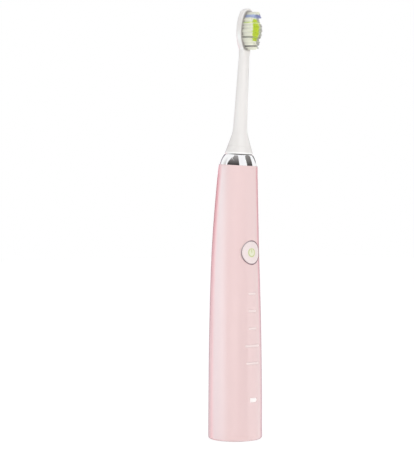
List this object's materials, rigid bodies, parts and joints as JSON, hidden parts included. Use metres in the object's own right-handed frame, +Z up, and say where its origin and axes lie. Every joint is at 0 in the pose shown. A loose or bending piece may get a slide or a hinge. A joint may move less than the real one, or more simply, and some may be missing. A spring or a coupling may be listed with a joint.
{
  "type": "electric toothbrush",
  "caption": "Electric toothbrush: tapered handle with a round power button and light marks, bright collar, pull-off brush head that sweeps on a sprung shaft.",
  "frame": {"origin": "middle of the handle's flat foot, on the surface it stands on", "axes": "+Z up along the handle; -Y is the front, with the button, the light marks and the bristles; +X is to the right of someone who looks at the front"},
  "size_m": [0.0314, 0.0357, 0.2498],
  "materials": {
    "pink_shell": "satin gloss, pale pink",
    "pink_button": "satin, paler pink than the shell",
    "bright_collar": "polished bright plating",
    "bright_bezel": "polished plating, dark rose grey",
    "white_moulding": "satin white",
    "coupling_plastic": "plain moulded",
    "seal_rubber": "matte",
    "light_guide": "clear, lit white",
    "icon_clear": "clear, lit pale green",
    "chassis_plastic": "plain moulded",
    "board_laminate": "green solder mask",
    "chip_black": "matte",
    "lamp_clear": "clear with yellow phosphor",
    "cell_wrap": "shrink-wrapped can",
    "tab_metal": "nickel plated",
    "copper_wire": "enamelled winding",
    "ferrite": "sintered",
    "frame_metal": "pressed sheet",
    "bush_bronze": "sintered bronze",
    "core_steel": "laminated",
    "shaft_steel": "ground",
    "magnet_plated": "nickel plated",
    "bristle_white": "fine filaments",
    "bristle_green": "fine filaments, lime green",
    "bristle_blue": "fine filaments, light blue"
  },
  "bodies": {
    "handle": {"handle_shell": "pink_shell", "base_cap": "pink_shell", "base_seal": "seal_rubber", "collar_ring": "bright_collar", "shaft_seal": "seal_rubber", "button_bezel": "bright_bezel", "mode_lights": "light_guide", "battery_light": "light_guide", "chassis": "chassis_plastic", "circuit_board": "board_laminate", "board_lamps": "lamp_clear", "board_chips": "chip_black", "tact_switch": "chip_black", "battery_cell": "cell_wrap", "battery_tabs": "tab_metal", "charge_bobbin": "chassis_plastic", "charge_coil": "copper_wire", "charge_core": "ferrite", "drive_frame": "frame_metal", "end_plate": "frame_metal", "front_bush": "bush_bronze", "stator_core": "core_steel", "stator_coil": "copper_wire"},
    "drive": {"drive_shaft": "shaft_steel", "rotor_yoke": "core_steel", "rotor_magnets": "magnet_plated", "torsion_rod": "shaft_steel"},
    "brush_head": {"brush_neck": "white_moulding", "id_ring": "white_moulding", "drive_coupling": "coupling_plastic", "bristles_white": "bristle_white", "bristles_green": "bristle_green", "bristles_blue": "bristle_blue"},
    "button": {"power_button": "pink_button", "power_icon": "icon_clear", "button_seal": "seal_rubber", "switch_plunger": "coupling_plastic"}
  },
  "joints": [
    {"name": "brush_sweep", "type": "hinge", "parent": "handle", "child": "drive", "pos_m": [0, -0.00267, 0.15993], "axis": [0, -0.0785, 0.9969], "range_deg": [-5, 5], "stiffness_Nm_per_rad": 0.01},
    {"name": "brush_head_pull", "type": "slide", "parent": "drive", "child": "brush_head", "axis": [0, -0.0785, 0.9969], "range_m": [0, 0.03]},
    {"name": "power_button_press", "type": "slide", "parent": "handle", "child": "button", "axis": [0, 1, 0], "range_m": [0, 0.0004], "stiffness_N_per_m": 1500}
  ]
}
